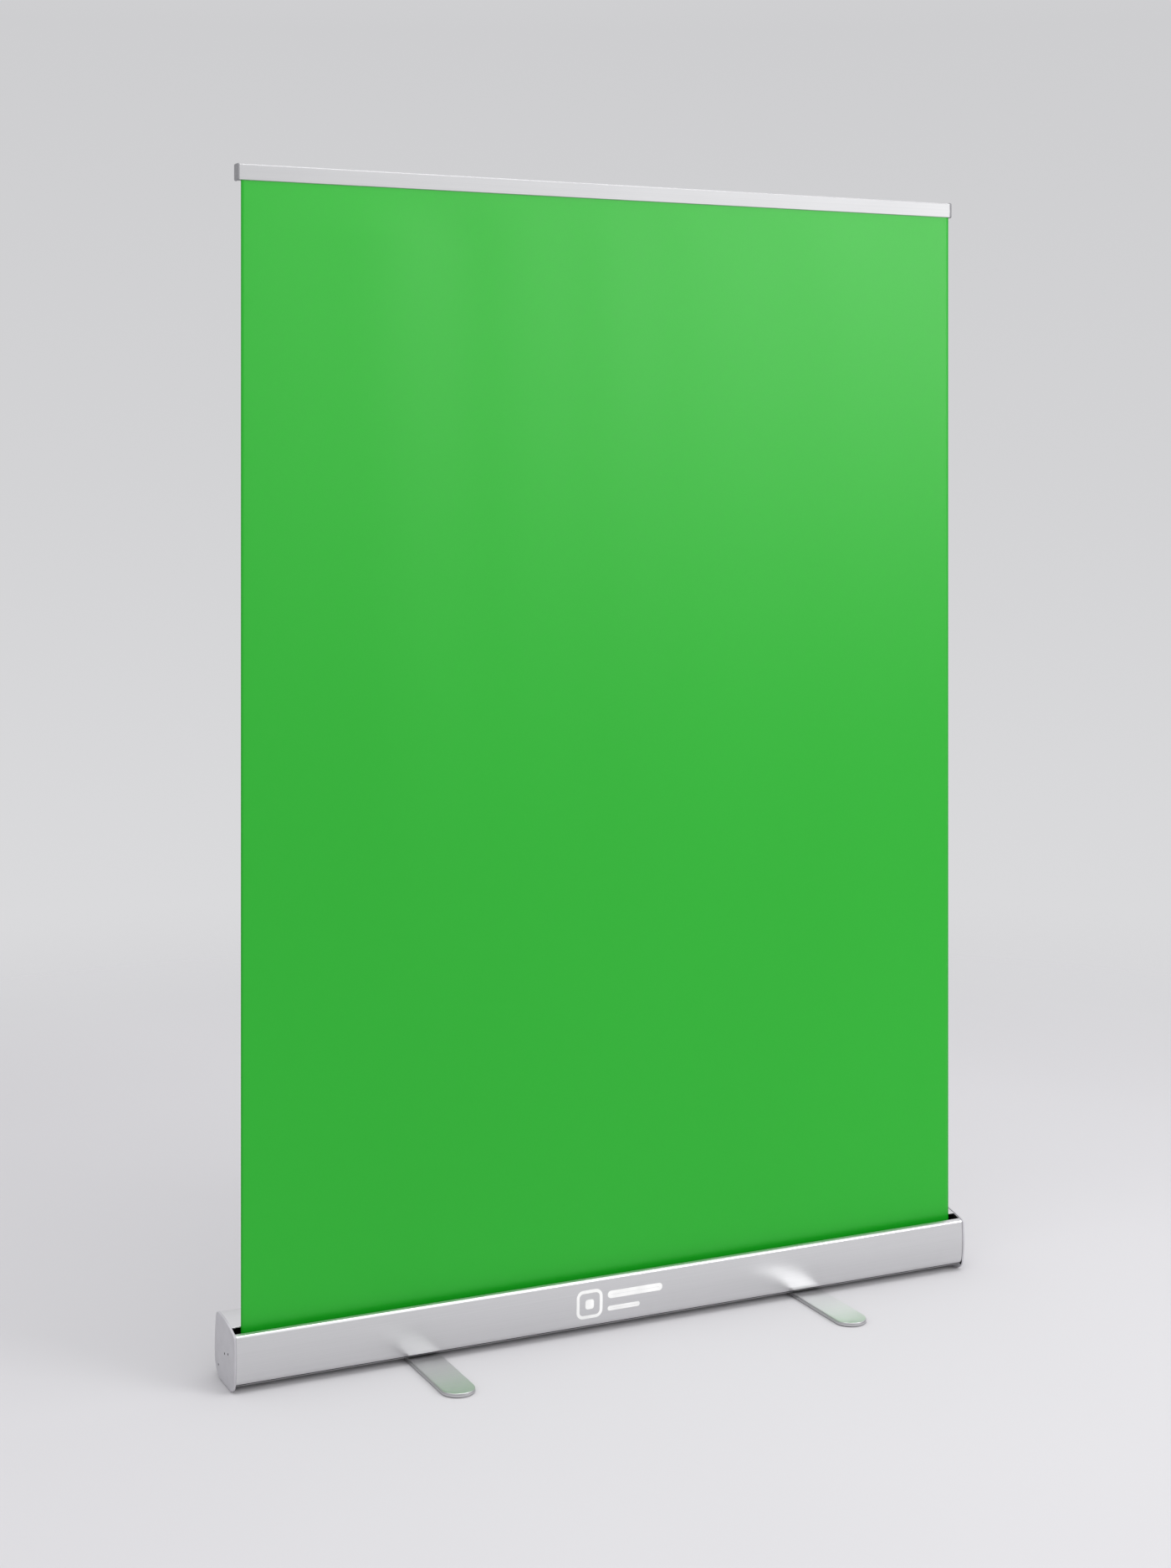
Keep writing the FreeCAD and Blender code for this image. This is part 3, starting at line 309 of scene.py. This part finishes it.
# ---- Banner ------------------------------------------------------------------------------------
BANNER_COLUMNS, BANNER_ROWS = 240, 320
HELD_AT_RAIL = 0.04            # share of the height over which the rail holds the cloth flat
HELD_AT_SLOT = 0.1             # the same at the slot
FOLD_AT_SLOT = 0.12            # depth of the folds near the slot, as a share of that at the rail
FOLD_LEAN = 0.02               # sideways lean of the folds
RIPPLE = 0.0004                # height of the fine ripple
LANES = [                      # place along X, half width, slope: soft upright folds in the cloth
    (-0.56, 0.07, -0.018), (-0.40, 0.08, 0.042), (-0.28, 0.05, -0.027), (-0.14, 0.05, 0.012),
    (-0.07, 0.04, -0.015), (0.03, 0.06, 0.024), (0.12, 0.04, -0.012), (0.28, 0.07, 0.012),
    (0.42, 0.05, -0.015), (0.55, 0.07, 0.018),
]


def lane_height(x):
    """How far the folds stand off the banner's plane, the same at both edges."""
    half = SHEET_HIGH.x
    height = 0.0
    for place, width, slope in LANES:
        area = slope * width * math.sqrt(math.pi)
        height += area / 2 * math.erf((x - place) / width) - area * x / (2 * half)
    return height


def banner_wave(x, z):
    """How far the cloth stands off its plane, from 0 at the rail and the slot."""
    along = (z - HOUSING_HIGH.z) / (RAIL_LOW.z - HOUSING_HIGH.z)
    if along <= 0 or along >= 1:
        return 0.0
    held = min(1.0, (1.0 - along) / HELD_AT_RAIL) * min(1.0, along / HELD_AT_SLOT)
    fade = FOLD_AT_SLOT + (1.0 - FOLD_AT_SLOT) * along ** 1.2
    ripple = noise.noise(Vector((x * 6.0, 4.1, z * 0.8)))
    return held * fade * (lane_height(x + FOLD_LEAN * (z - RAIL_LOW.z)) + RIPPLE * ripple)


def make_banner():
    width = SHEET_HIGH.x - SHEET_LOW.x
    height = SHEET_HIGH.z - SHEET_LOW.z
    plane_y = (SHEET_LOW.y + SHEET_HIGH.y) / 2
    mesh = bmesh.new()
    rows = []
    for row in range(BANNER_ROWS + 1):
        z = SHEET_LOW.z + height * row / BANNER_ROWS
        line = []
        for column in range(BANNER_COLUMNS + 1):
            x = SHEET_LOW.x + width * column / BANNER_COLUMNS
            line.append(mesh.verts.new((x, plane_y + banner_wave(x, z), z)))
        rows.append(line)
    for low, high in zip(rows, rows[1:]):
        for n in range(BANNER_COLUMNS):
            mesh.faces.new((low[n], low[n + 1], high[n + 1], high[n])).smooth = True
    data = bpy.data.meshes.new("banner_cloth")
    mesh.to_mesh(data)
    mesh.free()
    banner = bpy.data.objects.new("banner_cloth", data)
    bpy.context.scene.collection.objects.link(banner)
    data.materials.append(MATERIALS["green_banner"])
    thickness = banner.modifiers.new("thickness", "SOLIDIFY")
    thickness.thickness = SHEET_HIGH.y - SHEET_LOW.y
    thickness.offset = 0.0
    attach(banner, "top_rail")
    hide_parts("banner_sheet")
    banner.visible_diffuse = False
    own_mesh(banner)
    return banner


# ---- Printed mark on the cassette's front ------------------------------------------------------
MARK_MIDDLE_Z = 0.0585
MARK_SHAPES = (                # x, height over the middle, width, height, corner radius, line
    (-0.076, 0.0, 0.054, 0.054, 0.014, 0.006),
    (-0.076, 0.0, 0.018, 0.018, 0.005, 0.0088),
    (0.020, 0.012, 0.116, 0.014, 0.0069, 0.0068),
    (-0.004, -0.014, 0.068, 0.009, 0.0044, 0.0043),
)
ARC_STEPS = 8                  # pieces each corner is cut into
LINE_STEPS = 8                 # pieces across the printed line
FILM = 0.0002                  # thickness of the print
SIDE_STEPS = 12                # pieces each straight side is cut into, to follow the crown


def rounded_loop(middle, width, height, radius):
    """Points (x, z) round a rectangle with rounded corners."""
    arcs = []
    for corner, (side_x, side_z) in enumerate(((1, 1), (-1, 1), (-1, -1), (1, -1))):
        centre_x = middle[0] + side_x * (width / 2 - radius)
        centre_z = middle[1] + side_z * (height / 2 - radius)
        angles = [math.pi / 2 * (corner + step / ARC_STEPS) for step in range(ARC_STEPS + 1)]
        arcs.append([(centre_x + radius * math.cos(a), centre_z + radius * math.sin(a)) for a in angles])
    points = []
    for arc, following in zip(arcs, arcs[1:] + arcs[:1]):
        (start_x, start_z), (end_x, end_z) = arc[-1], following[0]
        points += arc
        for step in range(1, SIDE_STEPS):
            share = step / SIDE_STEPS
            points.append((start_x + share * (end_x - start_x), start_z + share * (end_z - start_z)))
    return points


def print_patch(mesh, middle, width, height, radius, line):
    """A rounded outline of one line's width, laid on the crowned front."""
    loops = []
    for step in range(LINE_STEPS + 1):
        inset = line * step / LINE_STEPS
        loop = rounded_loop(middle, width - 2 * inset, height - 2 * inset, max(radius - inset, 0.0001))
        loops.append([mesh.verts.new((x, front_y(z), z)) for x, z in loop])
    for outer, inner in zip(loops, loops[1:]):
        for n in range(len(outer)):
            after = (n + 1) % len(outer)
            mesh.faces.new((outer[after], inner[after], inner[n], outer[n]))


def front_y(z):
    """Y of the cassette's crowned front at a height."""
    return HOUSING_LOW.y + CROWN_RADIUS - math.sqrt(CROWN_RADIUS ** 2 - (z - CROWN_MIDDLE_Z) ** 2)


def make_mark():
    """A plain printed sign: a rounded square with a smaller one in it, beside two bars."""
    mesh = bmesh.new()
    for x, rise, width, height, radius, line in MARK_SHAPES:
        print_patch(mesh, (x, MARK_MIDDLE_Z + rise), width, height, radius, line)
    data = bpy.data.meshes.new("front_mark")
    mesh.to_mesh(data)
    mesh.free()
    mark = bpy.data.objects.new("front_mark", data)
    bpy.context.scene.collection.objects.link(mark)
    data.materials.append(MATERIALS["white_plastic"])
    film = mark.modifiers.new("film", "SOLIDIFY")
    film.thickness = FILM
    film.offset = 0.8
    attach(mark, "base")


# ---- Studio ------------------------------------------------------------------------------------
def area_light(name, place, target, size, power):
    data = bpy.data.lights.new(name, "AREA")
    data.shape = "RECTANGLE"
    data.size, data.size_y = size
    data.energy = power
    light = bpy.data.objects.new(name, data)
    light.location = place
    light.visible_camera = False
    light.rotation_euler = (Vector(target) - Vector(place)).to_track_quat("-Z", "Y").to_euler()
    bpy.context.scene.collection.objects.link(light)


def make_floor():
    """Pale floor that thins out into the backdrop far from the stand."""
    nodes = Nodes("studio_floor")
    cloud = nodes.noise(0.7)
    nodes.link(nodes.ramp(cloud, (0.3, linear(205, 204, 206)), (0.7, linear(207, 206, 208))),
               nodes.shader.inputs["Base Color"])
    nodes.set(Roughness=0.8, Specular_IOR_Level=0.1)
    reach = nodes.add("ShaderNodeVectorMath", operation="LENGTH")
    nodes.link(nodes.place(), reach.inputs[0])
    fade = nodes.add("ShaderNodeMapRange", interpolation_type="SMOOTHSTEP")
    fade.inputs["From Min"].default_value = FLOOR_FADE[0]
    fade.inputs["From Max"].default_value = FLOOR_FADE[1]
    nodes.link(reach.outputs["Value"], fade.inputs["Value"])
    blend = nodes.add("ShaderNodeMixShader")
    nodes.link(fade.outputs["Result"], blend.inputs["Fac"])
    nodes.link(nodes.shader.outputs["BSDF"], blend.inputs[1])
    nodes.link(nodes.add("ShaderNodeBsdfTransparent").outputs["BSDF"], blend.inputs[2])
    nodes.link(blend.outputs["Shader"], nodes.tree.nodes["Material Output"].inputs["Surface"])
    bpy.ops.mesh.primitive_plane_add(size=3 * FLOOR_FADE[1], location=(0, 0, 0))
    floor = bpy.context.object
    floor.name = "studio_floor"
    floor.data.materials.append(nodes.material)


def make_backdrop():
    """Plain paper backdrop, a little darker towards the top."""
    world = bpy.data.worlds.new("studio")
    world.use_nodes = True
    tree = world.node_tree
    direction = tree.nodes.new("ShaderNodeTexCoord")
    split = tree.nodes.new("ShaderNodeSeparateXYZ")
    tree.links.new(direction.outputs["Generated"], split.inputs["Vector"])
    height = tree.nodes.new("ShaderNodeMapRange")
    height.inputs["From Min"].default_value = -0.5
    height.inputs["From Max"].default_value = 0.5
    tree.links.new(split.outputs["Z"], height.inputs["Value"])
    ramp = tree.nodes.new("ShaderNodeValToRGB")
    elements = ramp.color_ramp.elements
    while len(elements) < len(BACKDROP):
        elements.new(0.5)
    for element, (position, grey) in zip(elements, BACKDROP):
        element.position = position
        element.color = (*linear(grey, grey, grey + 2), 1)
    tree.links.new(height.outputs["Result"], ramp.inputs["Fac"])
    tree.links.new(ramp.outputs["Color"], tree.nodes["Background"].inputs["Color"])
    bpy.context.scene.world = world


def make_studio():
    make_floor()
    make_backdrop()
    for light in LIGHTS:
        area_light(*light)


def make_camera():
    data = bpy.data.cameras.new("camera")
    data.sensor_width = SENSOR
    data.lens = FOCAL_PIXELS / FRAME_HEIGHT * SENSOR
    data.shift_y = (HORIZON_ROW - FRAME_HEIGHT / 2) / FRAME_HEIGHT
    camera = bpy.data.objects.new("camera", data)
    camera.location = CAMERA_PLACE
    camera.rotation_euler = (math.pi / 2, 0, -CAMERA_YAW)
    bpy.context.scene.collection.objects.link(camera)
    bpy.context.scene.camera = camera


make_camera()
make_studio()
dress_cad_nodes()
make_banner()
make_mark()
bpy.context.scene.view_settings.view_transform = "Standard"
